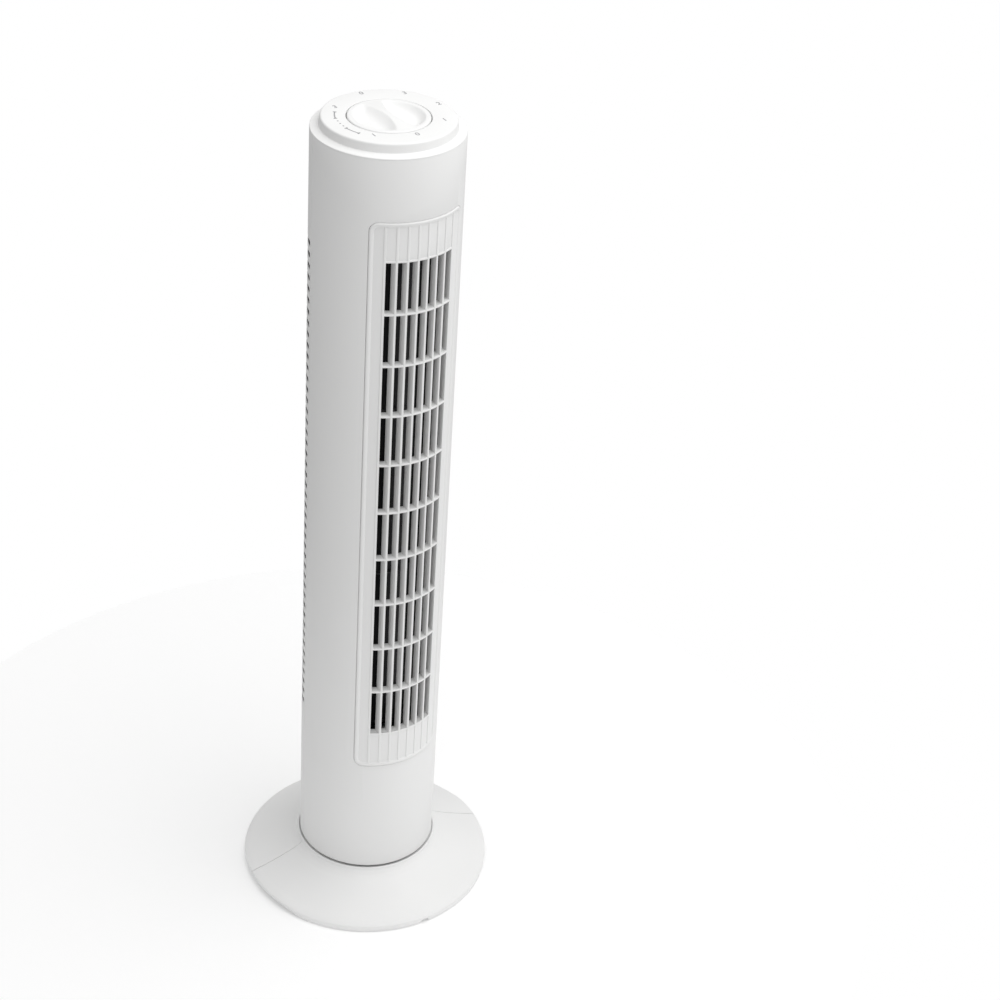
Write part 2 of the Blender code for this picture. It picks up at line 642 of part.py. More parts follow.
def make_motor(frame):
    at = (0, ROTOR_Y, 0)
    low, high = STATOR_Z
    profile = [(0.0245, high), (STATOR_R, high), (STATOR_R, low), (0.0245, low)]
    stator = turned("motor_stator", profile, 18, at)
    finished(stator, LAMINATION, frame)
    for name, z in (("motor_coil_upper", high + GAP), ("motor_coil_lower", low - GAP - 0.0085)):
        coil = turned(name, [(0.0270, z + 0.0085), (0.0350, z + 0.0085), (0.0375, z + 0.0060), (0.0375, z),
                             (0.0255, z), (0.0255, z + 0.0060)], 16, at)
        finished(coil, COPPER, frame)
    flange = LOWER_DECK - GAP
    bore, inside, lug = SHAFT_R + GAP, STATOR_R - 0.0025, MOTOR_SCREW_R + 0.005
    upper = turned("motor_bell_upper", [(bore, flange), (lug, flange), (lug, flange - 0.003),
                                        (STATOR_R, flange - 0.007), (STATOR_R, high + GAP),
                                        (inside, high + GAP), (inside, flange - 0.0085),
                                        (0.0300, flange - 0.0045), (bore, flange - 0.0045)], 18, at)
    for i in range(3):
        x, y, z = on_azimuth(MOTOR_SCREW_R, 120 * i) + Vector(at)
        boolean(upper, cylinder("motor_screw_hole", 0.0018, flange - 0.015, flange + 0.005, 10, (x, y, 0)))
        head = (x, y, LOWER_DECK + DECK_T + GAP)
        finished(screw_fastener(f"motor_screw_{i + 1}", head, (0, 0, -1), 0.0065), STEEL, frame)
    finished(upper, GREY_ABS, frame)
    floor = 0.1035
    lower = turned("motor_bell_lower", [(inside, low - GAP), (STATOR_R, low - GAP),
                                        (STATOR_R, floor + 0.006), (0.0340, floor), (bore, floor),
                                        (bore, floor + 0.0030), (0.0320, floor + 0.0030),
                                        (inside, floor + 0.0080)], 18, at)
    finished(lower, GREY_ABS, frame)


# ---------------------------------------------------------------- oscillation, switch and wiring pieces
def make_oscillation(frame, crank):
    z0, z1 = OSCILLATION_MOTOR_Z
    ear_w, ear_top = 0.0042, z0 + 0.0018
    can = cylinder("oscillation_motor", 0.0240, z0, z1, 28, (0, OSCILLATION_MOTOR_Y, 0))
    ears = box("motor_ears", (-0.0335, OSCILLATION_MOTOR_Y - ear_w, z0),
               (0.0335, OSCILLATION_MOTOR_Y + ear_w, ear_top))
    boolean(can, ears, "UNION")
    for number, x in enumerate(STANDOFFS):
        hole = cylinder("ear_hole", SCREW_HOLE_R, z0 - 0.005, z0 + 0.008, 10, (x, OSCILLATION_MOTOR_Y, 0))
        boolean(can, hole)
        head = (x, OSCILLATION_MOTOR_Y, ear_top + GAP)
        screw = screw_fastener(f"oscillation_screw_{number + 1}", head, (0, 0, -1), 0.0075)
        finished(screw, STEEL, frame)
    finished(can, STEEL, frame)

    low, high = ARM_Z
    shaft_r, pin_at = 0.0025, (0, CRANK_THROW, 0)
    pin_bottom = FLANGE_TOP + GAP + 0.004 + 0.0004
    arm = cylinder("crank_arm", 0.0062, low, high, 16)
    web = box("crank_web", (-0.0035, 0.001, low), (0.0035, CRANK_THROW, high))
    tip = cylinder("crank_tip", 0.00345, low + 0.0002, high - 0.0002, 12, pin_at)
    pin = cylinder("crank_pin", PIN_R, pin_bottom, low + 0.002, 12, pin_at)
    bore = cylinder("crank_bore", shaft_r + GAP, low - 0.005, high + 0.005, 12)
    for tool, operation in ((web, "UNION"), (tip, "UNION"), (pin, "UNION"), (bore, "DIFFERENCE")):
        boolean(arm, tool, operation)
        tool.parent = crank
    finished(arm, NYLON, crank)
    finished(cylinder("crank_shaft", shaft_r, low + 0.0005, z0 - GAP, 12), STEEL, crank)


def make_switch(frame, dial):
    top = WELL_FLOOR - WALL - GAP
    body = box("rotary_switch", (-0.017, -0.015, top - 0.017), (0.017, 0.015, top))
    boolean(body, cylinder("switch_bushing", 0.0045, top - 0.002, WELL_FLOOR + 0.0030, 16), "UNION")
    boolean(body, cylinder("switch_bore", SWITCH_SHAFT_R + GAP, top - 0.004, WELL_FLOOR + 0.010, 16))
    finished(body, BLACK_PLASTIC, frame)
    outlines = [circle(0.0078, 6), circle(0.0045 + GAP, 16)]
    finished(plate("switch_nut", outlines, WELL_FLOOR + GAP, WELL_FLOOR + 0.0025), STEEL, frame)
    finished(cylinder("switch_shaft", SWITCH_SHAFT_R, top - 0.0035, GRIP_TOP - 0.0022, 16), STEEL, dial)
    finished(knob(dial), WHITE_ABS, dial)


def knob(dial):
    """Round knob with a raised rim and a grip bar between two scooped hollows."""
    under, belly = WELL_FLOOR + 0.0012, WELL_FLOOR + 0.0018
    made = turned("knob", [(0, HOLLOW_FLOOR), (0.0180, HOLLOW_FLOOR), (0.0250, HOLLOW_FLOOR + 0.0007),
                           (0.0290, KNOB_RIM_TOP - 0.0010), (0.0302, KNOB_RIM_TOP),
                           (KNOB_R - 0.0010, KNOB_RIM_TOP), (KNOB_R, KNOB_RIM_TOP - 0.0010),
                           (KNOB_R, under), (KNOB_R - 0.0025, under), (KNOB_R - 0.0030, belly),
                           (0, belly)], 24)
    grip = box("knob_grip", (-0.0060, -0.0315, HOLLOW_FLOOR - 0.0008), (0.0060, 0.0315, GRIP_TOP))
    edges = grip.modifiers.new("rounding", "BEVEL")
    edges.width = 0.0014
    edges.segments = 2
    recess = cylinder("nut_recess", 0.0085, WELL_FLOOR - 0.0010, WELL_FLOOR + 0.0033, 16)
    bore = cylinder("knob_bore", SWITCH_SHAFT_R + GAP, WELL_FLOOR - 0.0010, GRIP_TOP - 0.0017, 16)
    for tool, operation in ((grip, "UNION"), (recess, "DIFFERENCE"), (bore, "DIFFERENCE")):
        boolean(made, tool, operation)
        tool.parent = dial
    return made


def make_wiring(frame):
    floor = COLUMN_BOTTOM + 0.004 + GAP
    capacitor = box("run_capacitor", (-0.046, -0.034, floor), (-0.008, -0.018, floor + 0.028))
    terminal = box("terminal_block", (0.008, -0.034, floor), (0.040, -0.020, floor + 0.014))
    for piece, finish in ((capacitor, WHITE_ABS), (terminal, NYLON)):
        edges = piece.modifiers.new("rounding", "BEVEL")
        edges.width = 0.0015
        edges.segments = 1
        finished(piece, finish, frame)


# ---------------------------------------------------------------- assembly
for old in list(bpy.data.objects):
    bpy.data.objects.remove(old)
PARTS = collection("tower_fan")
CUTTERS = collection("cutters")

HOUSING_SCREWS = []     # (middle of the seat on the casing's surface, inward direction)
for screw_z in HOUSING_SCREW_HEIGHTS:
    for screw_azimuth in HOUSING_SCREW_AZIMUTHS:
        seat = on_azimuth(COLUMN_R, screw_azimuth, screw_z)
        HOUSING_SCREWS.append((seat, -on_azimuth(1.0, screw_azimuth)))

column_frame = empty("column_axis")
rotor_frame = empty("rotor_axis", (0, ROTOR_Y, 0))
dial_frame = empty("dial_axis")
crank_frame = empty("crank_axis", (0, CRANK_Y, 0), CRANK_REST)

make_base()
make_casing(column_frame)
make_blower(column_frame, rotor_frame)
make_motor(column_frame)
make_oscillation(column_frame, crank_frame)
make_switch(column_frame, dial_frame)
make_wiring(column_frame)
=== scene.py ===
"""Looks of the tower fan: fine moulded shells, procedural plastics and metals, floor, light and camera."""

import json
import math

import bmesh
import bpy
from mathutils import Matrix, Vector


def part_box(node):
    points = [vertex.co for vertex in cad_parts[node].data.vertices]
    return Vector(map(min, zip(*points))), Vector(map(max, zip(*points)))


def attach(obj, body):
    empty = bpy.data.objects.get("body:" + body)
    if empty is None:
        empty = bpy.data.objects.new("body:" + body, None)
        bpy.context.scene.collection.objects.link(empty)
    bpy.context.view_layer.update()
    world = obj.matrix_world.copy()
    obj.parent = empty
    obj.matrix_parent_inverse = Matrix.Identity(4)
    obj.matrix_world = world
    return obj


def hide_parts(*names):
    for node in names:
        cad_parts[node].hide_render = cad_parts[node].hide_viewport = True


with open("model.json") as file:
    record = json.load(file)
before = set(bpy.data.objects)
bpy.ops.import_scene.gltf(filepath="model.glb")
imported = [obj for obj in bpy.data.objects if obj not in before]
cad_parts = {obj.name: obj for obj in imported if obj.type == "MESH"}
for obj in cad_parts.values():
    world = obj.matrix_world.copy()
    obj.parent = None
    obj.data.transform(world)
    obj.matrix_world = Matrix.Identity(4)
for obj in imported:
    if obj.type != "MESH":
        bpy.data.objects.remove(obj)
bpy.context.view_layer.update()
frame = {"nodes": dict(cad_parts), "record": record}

# ---------------------------------------------------------------- sizes (metres, degrees)
COLUMN_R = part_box("top_cover")[1].x
COLUMN_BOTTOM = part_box("front_housing")[0].z
COLUMN_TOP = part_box("front_housing")[1].z
WALL = 0.0025
SEAM_AZIMUTH = 101
BASE_TURN = -6.6
BASE_R = 0.1195
COLLAR_R = 0.067
COLLAR_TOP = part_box("base_front")[1].z + 0.0004
BASE_FLOOR = 0.001
NOTCH_AZIMUTH = -BASE_TURN      # small notch in the rim's lower edge, under the outlet
NOTCH_HEIGHT = 0.0026

GRILLE_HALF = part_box("outlet_grille")[1].x
GRILLE_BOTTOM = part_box("outlet_grille")[0].z
GRILLE_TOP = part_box("outlet_grille")[1].z
GRILLE_CORNER = 0.009
GRILLE_GAP = 0.00015
BEAD_W = 0.0042
PANEL_SINK = 0.0007     # how far the grille's plain panel lies below the casing's surface
SLOT_COLUMNS = 7
SLOT_ROWS = 10
SLOT_PITCH = 0.00915
FIN_T = 0.00195
FIN_DEPTH = 0.0083
ROW_PITCH = 0.049
BAR_T = 0.0018
FIRST_SLOT_TOP = 0.6862
LAST_SLOT_BOTTOM = FIRST_SLOT_TOP - SLOT_ROWS * ROW_PITCH + BAR_T

INTAKE_ROWS = 45
INTAKE_PITCH = 0.0109
INTAKE_TOP = 0.6805
INTAKE_SLOT = 0.0052
INTAKE_COLUMNS = ((103.5, 138.5), (142.5, 178), (182, 217.5), (221.5, 256.5))
SKIN_T = 0.0006         # white skin of the rear housing, over a black sheet that paints shade on the slots' walls
SCREW_WELL_R = 0.0041
WELL_FIELD = 0.0055     # half the square of casing round a screw's well
INTAKE_CORNER = 0.0012

DISC_R = 0.056
DISC_TOP = 0.788
LEDGE_R = 0.0575
WELL_R = 0.0356
WELL_FLOOR = 0.781
KNOB_R = 0.0347
KNOB_TOP = 0.7893
KNOB_RIM_TOP = 0.7885
HOLLOW_R = 0.0302
HOLLOW_DEPTH = 0.0056
BAR_WAIST = 0.0024
BAR_FLARE = 0.0090
KNOB_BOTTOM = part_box("knob")[0].z

CASING_END = COLUMN_TOP + 0.0002       # upper edge of both housings
LAYER_GAP = 0.00005     # between the rear housing's two layers
CUT_OFFSET = 0.00003    # keeps a sheet's cuts off its own vertices

ROTOR_Y = 0.006
IMPELLER_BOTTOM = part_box("impeller")[0].z
IMPELLER_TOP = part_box("impeller")[1].z
IMPELLER_R = 0.0395
BLADE_INNER_R = 0.032
BLADES = 32
RING_GAPS = 3


# ---------------------------------------------------------------- node materials
def node_material(name):
    material = bpy.data.materials.new(name)
    material.use_nodes = True
    nodes = material.node_tree.nodes
    return material, nodes, material.node_tree.links, nodes["Principled BSDF"]


def noise(nodes, links, scale, detail=3.0, stretch=(1, 1, 1)):
    """Noise in object space; scale is in cells per metre."""
    coordinates = nodes.new("ShaderNodeTexCoord")
    mapping = nodes.new("ShaderNodeMapping")
    mapping.inputs["Scale"].default_value = stretch
    texture = nodes.new("ShaderNodeTexNoise")
    texture.inputs["Scale"].default_value = scale
    texture.inputs["Detail"].default_value = detail
    links.new(coordinates.outputs["Object"], mapping.inputs["Vector"])
    links.new(mapping.outputs["Vector"], texture.inputs["Vector"])
    return texture.outputs["Fac"]


def ranged(nodes, links, value, low, high, start=0.3, end=0.7):
    """Map start..end of a value to low..high."""
    mapper = nodes.new("ShaderNodeMapRange")
    mapper.inputs["From Min"].default_value = start
    mapper.inputs["From Max"].default_value = end
    mapper.inputs["To Min"].default_value = low
    mapper.inputs["To Max"].default_value = high
    links.new(value, mapper.inputs["Value"])
    return mapper.outputs["Result"]


def tinted(nodes, links, shader, value, dark, light):
    """Base colour that runs from dark to light with a value."""
    mix = nodes.new("ShaderNodeMix")
    mix.data_type = "RGBA"
    mix.inputs["A"].default_value = (*dark, 1)
    mix.inputs["B"].default_value = (*light, 1)
    links.new(value, mix.inputs["Factor"])
    links.new(mix.outputs["Result"], shader.inputs["Base Color"])


def bumped(nodes, links, shader, value, strength, distance):
    bump = nodes.new("ShaderNodeBump")
    bump.inputs["Strength"].default_value = strength
    bump.inputs["Distance"].default_value = distance
    links.new(value, bump.inputs["Height"])
    links.new(bump.outputs["Normal"], shader.inputs["Normal"])


def moulded_plastic(name, dark, light, roughness, grain=2600, grain_depth=0.00003, waviness=9):
    """Injection-moulded plastic: fine grain, faint flow marks and a satin sheen that varies."""
    material, nodes, links, shader = node_material(name)
    flow = noise(nodes, links, waviness, 2.0, (1, 1, 0.35))
    tinted(nodes, links, shader, ranged(nodes, links, flow, 0, 1), dark, light)
    rub = noise(nodes, links, 60, 4.0)
    links.new(ranged(nodes, links, rub, roughness - 0.05, roughness + 0.06), shader.inputs["Roughness"])
    bumped(nodes, links, shader, noise(nodes, links, grain, 2.0), 0.35, grain_depth)
    shader.inputs["Specular IOR Level"].default_value = 0.32
    return material


def metal(name, dark, light, roughness, stretch=(1, 1, 1), scale=900):
    """Metal with fine machining or plating marks."""
    material, nodes, links, shader = node_material(name)
    marks = noise(nodes, links, scale, 3.0, stretch)
    tinted(nodes, links, shader, ranged(nodes, links, marks, 0, 1), dark, light)
    links.new(ranged(nodes, links, marks, roughness - 0.07, roughness + 0.09), shader.inputs["Roughness"])
    bumped(nodes, links, shader, marks, 0.3, 0.00003)
    shader.inputs["Metallic"].default_value = 1.0
    return material


def banded(name, dark, light, roughness, bands, metallic):
    """Stacked plates or wound wire: fine level bands, bands per metre."""
    material, nodes, links, shader = node_material(name)
    coordinates = nodes.new("ShaderNodeTexCoord")
    wave = nodes.new("ShaderNodeTexWave")
    wave.bands_direction = "Z"
    wave.inputs["Scale"].default_value = bands / 20
    wave.inputs["Distortion"].default_value = 0.4
    links.new(coordinates.outputs["Object"], wave.inputs["Vector"])
    tinted(nodes, links, shader, ranged(nodes, links, wave.outputs["Fac"], 0, 1, 0, 1), dark, light)
    bumped(nodes, links, shader, wave.outputs["Fac"], 0.6, 0.0002)
    shader.inputs["Roughness"].default_value = roughness
    shader.inputs["Metallic"].default_value = metallic
    return material


WHITE = moulded_plastic("white_abs", (0.845, 0.845, 0.84), (0.87, 0.87, 0.865), 0.46)
KNOB_WHITE = moulded_plastic("knob_abs", (0.855, 0.855, 0.85), (0.88, 0.88, 0.875), 0.34,
                             grain_depth=0.00002)
GREY = moulded_plastic("grey_abs", (0.50, 0.51, 0.52), (0.56, 0.57, 0.58), 0.5)
BLACK = moulded_plastic("black_plastic", (0.012, 0.012, 0.013), (0.022, 0.022, 0.024), 0.46)
NYLON = moulded_plastic("nylon", (0.74, 0.73, 0.67), (0.80, 0.79, 0.74), 0.5)
RUBBER = moulded_plastic("rubber", (0.028, 0.028, 0.028), (0.045, 0.045, 0.045), 0.82, grain=900,
                         grain_depth=0.0001)
INK = moulded_plastic("grey_ink", (0.33, 0.33, 0.34), (0.39, 0.39, 0.40), 0.6)
STEEL = metal("zinc_steel", (0.52, 0.53, 0.54), (0.70, 0.70, 0.71), 0.34, (1, 1, 0.2))
PLATES = banded("lamination", (0.20, 0.21, 0.23), (0.36, 0.37, 0.39), 0.45, 2000, 1.0)
WINDING = banded("winding", (0.50, 0.21, 0.09), (0.78, 0.40, 0.20), 0.35, 1600, 1.0)

SLOT_MATERIALS = {"white_plastic": WHITE, "grey_plastic": GREY, "black_plastic": BLACK, "nylon": NYLON,
                  "steel": STEEL, "lamination": PLATES, "copper": WINDING, "rubber": RUBBER}
for subpart in frame["record"]["subparts"]:
    cad_mesh = frame["nodes"][subpart["node"]].data
    cad_mesh.materials.clear()
    cad_mesh.materials.append(SLOT_MATERIALS[subpart["material_slot"]])


# ---------------------------------------------------------------- mesh helpers
def on_azimuth(radius, azimuth, z=0.0):
    """Azimuth 0 is the outlet's direction, -Y, and 90 is +X."""
    angle = math.radians(azimuth)
    return Vector((radius * math.sin(angle), -radius * math.cos(angle), z))


def piece(name, bm, material, body, replaced=(), smooth=32):
    """Make an object of a bmesh, shade it, attach it to its body and hide the CAD nodes it stands for."""
    bmesh.ops.recalc_face_normals(bm, faces=bm.faces)
    mesh = bpy.data.meshes.new(name)
    bm.to_mesh(mesh)
    bm.free()
    mesh.materials.append(material)
    mesh.shade_smooth()
    mesh.set_sharp_from_angle(angle=math.radians(smooth))
    made = bpy.data.objects.new(name, mesh)
    bpy.context.scene.collection.objects.link(made)
    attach(made, body)
    if replaced:
        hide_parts(*replaced)
    return made


def rounded(points, steps=4):
    """Turn a closed outline of (x, y, corner radius) into points, with an arc at each corner."""
    outline = []
    for i, (x, y, radius) in enumerate(points):
        here = Vector((x, y))
        before = Vector(points[i - 1][:2]) - here
        after = Vector(points[(i + 1) % len(points)][:2]) - here
        turn = before.angle(after)
        if radius <= 0 or turn > math.radians(176):
            outline.append((x, y))
            continue
        reach = min(radius / math.tan(turn / 2), before.length * 0.49, after.length * 0.49)
        radius = reach * math.tan(turn / 2)
        start, end = here + before.normalized() * reach, here + after.normalized() * reach
        bisector = (before.normalized() + after.normalized()).normalized()
        centre = here + bisector * radius / math.sin(turn / 2)
        for step in range(steps + 1):
            t = step / steps
            spoke = (start - centre).lerp(end - centre, t)
            outline.append(tuple(centre + spoke.normalized() * radius))
    return outline


def bridge(bm, first, second, closed=True):
    """Quads between two rows of vertices."""
    count = len(first) if closed else len(first) - 1
    for i in range(count):
        j = (i + 1) % len(first)
        bm.faces.new((first[i], first[j], second[j], second[i]))


def lathe(bm, outline, steps=144, start=0.0, end=360.0, centre=(0, 0)):
    """Turn a closed (radius, z) outline round a vertical axis, wholly or between two azimuths."""
    whole = end - start >= 360
    rows = []
    for i in range(steps if whole else steps + 1):
        turn = start + (end - start) * i / steps
        offset = Vector((*centre, 0))
        rows.append([bm.verts.new(on_azimuth(r, turn, z) + offset) for r, z in outline])
    for row, following in zip(rows, rows[1:] + (rows[:1] if whole else [])):
        bridge(bm, row, following)
    if not whole:
        bm.faces.new(rows[0])
        bm.faces.new(rows[-1][::-1])
    return rows


def prism(bm, outline, z0, z1):
    """Extrude a closed (x, y) outline from z0 to z1."""
    low = [bm.verts.new((x, y, z0)) for x, y in outline]
    high = [bm.verts.new((x, y, z1)) for x, y in outline]
    bridge(bm, low, high)
    bm.faces.new(low[::-1])
    bm.faces.new(high)


def rounded_rectangle(half_u, bottom, top, radius, steps=8):
    """Closed outline of (u, z) points."""
    corners = ((half_u, bottom, radius), (half_u, top, radius),
               (-half_u, top, radius), (-half_u, bottom, radius))
    return rounded(corners, steps)


def wrapped_sheet(outlines, thickness, edge, surface_r, strip=0.0022):
    """A flat sheet with holes and rounded edges, cut into upright strips and bent round the column.

    Outlines are (u, z) points, where u is the distance round the column at COLUMN_R from the front.
    """
    curve = bpy.data.curves.new("sheet", "CURVE")
    curve.dimensions = "2D"
    curve.fill_mode = "BOTH"
    curve.extrude = thickness / 2 - edge
    curve.bevel_depth = edge
    curve.bevel_resolution = 1
    curve.offset = -edge
    for points in outlines:
        spline = curve.splines.new("POLY")
        spline.points.add(len(points) - 1)
        for point, (u, z) in zip(spline.points, points):
            point.co = (u, z, 0, 1)
        spline.use_cyclic_u = True
    guide = bpy.data.objects.new("sheet", curve)
    bpy.context.scene.collection.objects.link(guide)
    bpy.context.view_layer.update()
    mesh = bpy.data.meshes.new_from_object(guide.evaluated_get(bpy.context.evaluated_depsgraph_get()))
    bpy.data.objects.remove(guide)
    bm = bmesh.new()
    bm.from_mesh(mesh)
    bpy.data.meshes.remove(mesh)
    bmesh.ops.remove_doubles(bm, verts=bm.verts, dist=0.00001)
    reach = max(abs(vertex.co.x) for vertex in bm.verts)
    cuts = int(reach / strip)
    for i in range(-cuts, cuts + 1):
        everything = bm.verts[:] + bm.edges[:] + bm.faces[:]
        bmesh.ops.bisect_plane(bm, geom=everything, plane_co=(i * strip + CUT_OFFSET, 0, 0),
                               plane_no=(1, 0, 0), dist=0.000001)
    for vertex in bm.verts:
        u, z, height = vertex.co
        vertex.co = on_azimuth(surface_r - thickness / 2 + height, math.degrees(u / COLUMN_R), z)
    return bm


def round_the_column(azimuth):
    return math.radians(azimuth) * COLUMN_R


# ---------------------------------------------------------------- base
def rim_rise(azimuth):
    """0 where the rim stands on the floor, 1 in the arches on each side, near the seam."""
    away = abs((azimuth + 180) % 360 - 180)
    up = min(max((away - 46) / 24, 0), 1)
    down = min(max((118 - away) / 18, 0), 1)
    return min(t * t * (3 - 2 * t) for t in (up, down))


def base_outline():
    """(radius, z) section of the base: over the top from the collar to the rim, and back underneath."""
    lip, rebate = COLLAR_R - 0.0011, 0.0332
    top = [(0.0622, rebate, 0), (lip, rebate, 0.0008), (lip, COLLAR_TOP, 0.0003),
           (COLLAR_R, COLLAR_TOP, 0.0004), (COLLAR_R + 0.0005, 0.0322, 0.003), (0.0700, 0.0293, 0.010),
           (0.0740, 0.0267, 0.020), (0.0889, 0.0200, 0.06), (0.1078, 0.0120, 0.06), (0.1150, 0.0090, 0.02),
           (BASE_R, 0.0062, 0.0022), (BASE_R, BASE_FLOOR, 0.0005)]
    under = [(BASE_R - 0.0023, BASE_FLOOR, 0.0005), (BASE_R - 0.0023, 0.0048, 0.001), (0.1070, 0.0094, 0),
             (0.0880, 0.0175, 0), (0.0665, 0.0262, 0), (0.0665, 0.0180, 0.0005), (0.0500, 0.0180, 0.0005),
             (0.0500, 0.0210, 0.0005), (0.0622, 0.0210, 0.0005)]
    return rounded(top + under, 5)


def base_half(name, facing):
    """Half of the two-part base, with the arches in its rim."""
    seam = math.degrees(0.00017 / COLLAR_R)
    bm = bmesh.new()
    lathe(bm, base_outline(), 240, facing - 90 + seam, facing + 90 - seam)
    for vertex in bm.verts:
        x, y, z = vertex.co
        outward = min(max((math.hypot(x, y) - 0.096) / (BASE_R - 0.096), 0), 1)
        lift = 0.0055 if z < 0.0030 else 0.0028
        azimuth = math.degrees(math.atan2(x, -y))
        vertex.co.z += lift * rim_rise(azimuth) * outward ** 1.5
        if z < 0.0030 and abs(azimuth - NOTCH_AZIMUTH) < 1.8:
            vertex.co.z += NOTCH_HEIGHT
    bm.transform(Matrix.Rotation(math.radians(BASE_TURN), 4, "Z"))
    return piece(name, bm, WHITE, "base", [name])


base_half("base_front", 0)
base_half("base_rear", 180)

for number in range(1, 7):
    low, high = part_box(f"foot_{number}")
    middle, radius = (low + high) / 2, (high.x - low.x) / 2
    pad = bmesh.new()
    lathe(pad, rounded([(0.0018, high.z, 0), (radius, high.z, 0.0002), (radius, low.z, 0.0005),
                        (0.0030, low.z, 0.0003), (0.0018, low.z + 0.0006, 0)], 3), 40, centre=middle[:2])
    piece(f"rubber_foot_{number}", pad, RUBBER, "base", [f"foot_{number}"])


# ---------------------------------------------------------------- column casing
def front_housing():
    edge = round_the_column(SEAM_AZIMUTH)
    outline = [(-edge, COLUMN_BOTTOM), (edge, COLUMN_BOTTOM), (edge, CASING_END), (-edge, CASING_END)]
    half = COLUMN_R * math.asin((GRILLE_HALF + GRILLE_GAP) / COLUMN_R)
    window = rounded_rectangle(half, GRILLE_BOTTOM - GRILLE_GAP, GRILLE_TOP + GRILLE_GAP, GRILLE_CORNER)
    bm = wrapped_sheet([outline, window], WALL, 0.0003, COLUMN_R)
    return piece("front_housing_shell", bm, WHITE, "tower", ["front_housing"])


def stops(marks, longest):
    """Sorted values, with more between them wherever two are further apart than longest."""
    marks = sorted(set(marks))
    filled = [marks[0]]
    for mark in marks[1:]:
        start, parts = filled[-1], math.ceil((mark - filled[-1]) / longest)
        filled += [start + (mark - start) * i / parts for i in range(1, parts)] + [mark]
    return filled


def rear_sheet(outer_r, inner_r, edge):
    """One layer of the rear housing: a grid of azimuths and heights, open at the slots and wells."""
    low, high = COLUMN_BOTTOM, CASING_END
    first = SEAM_AZIMUTH + 0.35
    corner = math.degrees(INTAKE_CORNER / COLUMN_R)
    tops = [INTAKE_TOP - i * INTAKE_PITCH for i in range(INTAKE_ROWS)]
    rows = [(top - INTAKE_SLOT, top) for top in tops]
    wells = []
    for i in (1, 2, 3, 4):
        x, y, z = (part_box(f"housing_screw_{i}")[0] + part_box(f"housing_screw_{i}")[1]) / 2
        wells.append((round(math.degrees(math.atan2(x, -y)) % 360, 3), round(z, 6)))
    field, field_az = WELL_FIELD, math.degrees(WELL_FIELD / COLUMN_R)
    azimuths = [first, 360 - first]
    for start, end in INTAKE_COLUMNS:
        azimuths += [start, start + corner, end - corner, end]
    heights = [low, high]
    for bottom, top in rows:
        heights += [bottom, bottom + INTAKE_CORNER, top - INTAKE_CORNER, top]
    for azimuth, z in wells:
        azimuths += [azimuth - field_az, azimuth, azimuth + field_az]
        heights += [z - field, z, z + field]
    azimuths = stops([round(value, 4) for value in azimuths], 2.2)
    heights = stops([round(value, 6) for value in heights], 1.0)

    bm = bmesh.new()
    made = {}

    def at(azimuth, z):
        key = (round(azimuth, 3), round(z, 6))
        if key not in made:
            made[key] = bm.verts.new(on_azimuth(outer_r, azimuth, z))
        return made[key]

    def hole_at(azimuth, z):
        """Whether a point lies in a slot's rectangle or in the square round a well."""
        in_column = any(start < azimuth < end for start, end in INTAKE_COLUMNS)
        in_slot = in_column and any(bottom < z < top for bottom, top in rows)
        return in_slot or any(abs(azimuth - middle) < field_az and abs(z - height) < field
                              for middle, height in wells)

    for left, right in zip(azimuths, azimuths[1:]):
        for bottom, top in zip(heights, heights[1:]):
            if not hole_at((left + right) / 2, (bottom + top) / 2):
                bm.faces.new((at(left, bottom), at(right, bottom), at(right, top), at(left, top)))
    for start, end in INTAKE_COLUMNS:
        for bottom, top in rows:
            for azimuth, across in ((start, corner), (end, -corner)):
                for z, up in ((bottom, INTAKE_CORNER), (top, -INTAKE_CORNER)):
                    turns = [math.radians(22.5 * i) for i in range(5)]
                    arc = [at(azimuth + across * (1 - math.sin(t)), z + up * (1 - math.cos(t)))
                           for t in turns]
                    bm.faces.new([at(azimuth, z)] + arc)
    for azimuth, z in wells:
        well_az = math.degrees(SCREW_WELL_R / COLUMN_R)
        for across in (-1, 1):
            for up in (-1, 1):
                side = [value for value in heights if 0 <= (value - z) * up <= field + 1e-7]
                end = [value for value in azimuths if 0 <= (value - azimuth) * across <= field_az + 1e-3]
                side.sort(key=lambda value: abs(value - z))
                end.sort(key=lambda value: -abs(value - azimuth))
                border = [at(azimuth + across * field_az, value) for value in side]
                border += [at(value, z + up * field) for value in end[1:]]
                turns = [math.radians(15 * i) for i in range(7)]
                arc = [at(azimuth + across * well_az * math.sin(t), z + up * SCREW_WELL_R * math.cos(t))
                       for t in turns]
                bm.faces.new(border + arc)
    grown = bmesh.ops.extrude_face_region(bm, geom=bm.faces[:], use_keep_orig=True)["geom"]
    inner = {element for element in grown if isinstance(element, bmesh.types.BMVert)}
    for vertex in inner:
        vertex.co.x *= inner_r / outer_r
        vertex.co.y *= inner_r / outer_r
    rims = [e for e in bm.edges if not inner.intersection(e.verts)
            and any(inner.intersection(face.verts) for face in e.link_faces)]
    bmesh.ops.recalc_face_normals(bm, faces=bm.faces)
    bmesh.ops.bevel(bm, geom=rims, offset=edge, offset_type="OFFSET", segments=2, profile=0.5,
                    affect="EDGES")
    return bm


def rear_housing():
    """A white skin over a black inner sheet, both with the intake slots in four columns round the back; the
    black sheet is painted shade that darkens the slots' walls.
    """
    under_skin = COLUMN_R - SKIN_T
    layers = (("rear_housing_shell", WHITE, "white_plastic", COLUMN_R, under_skin, 0.0002),
              # painted shade: this black liner darkens the inner walls of the intake slots
              ("rear_housing_shade_liner", BLACK, "black_plastic", under_skin - LAYER_GAP, COLUMN_R - WALL,
               0.0001))
    for name, material, slot, outer_r, inner_r, edge in layers:
        piece(name, rear_sheet(outer_r, inner_r, edge), material, "tower", ["rear_housing"])


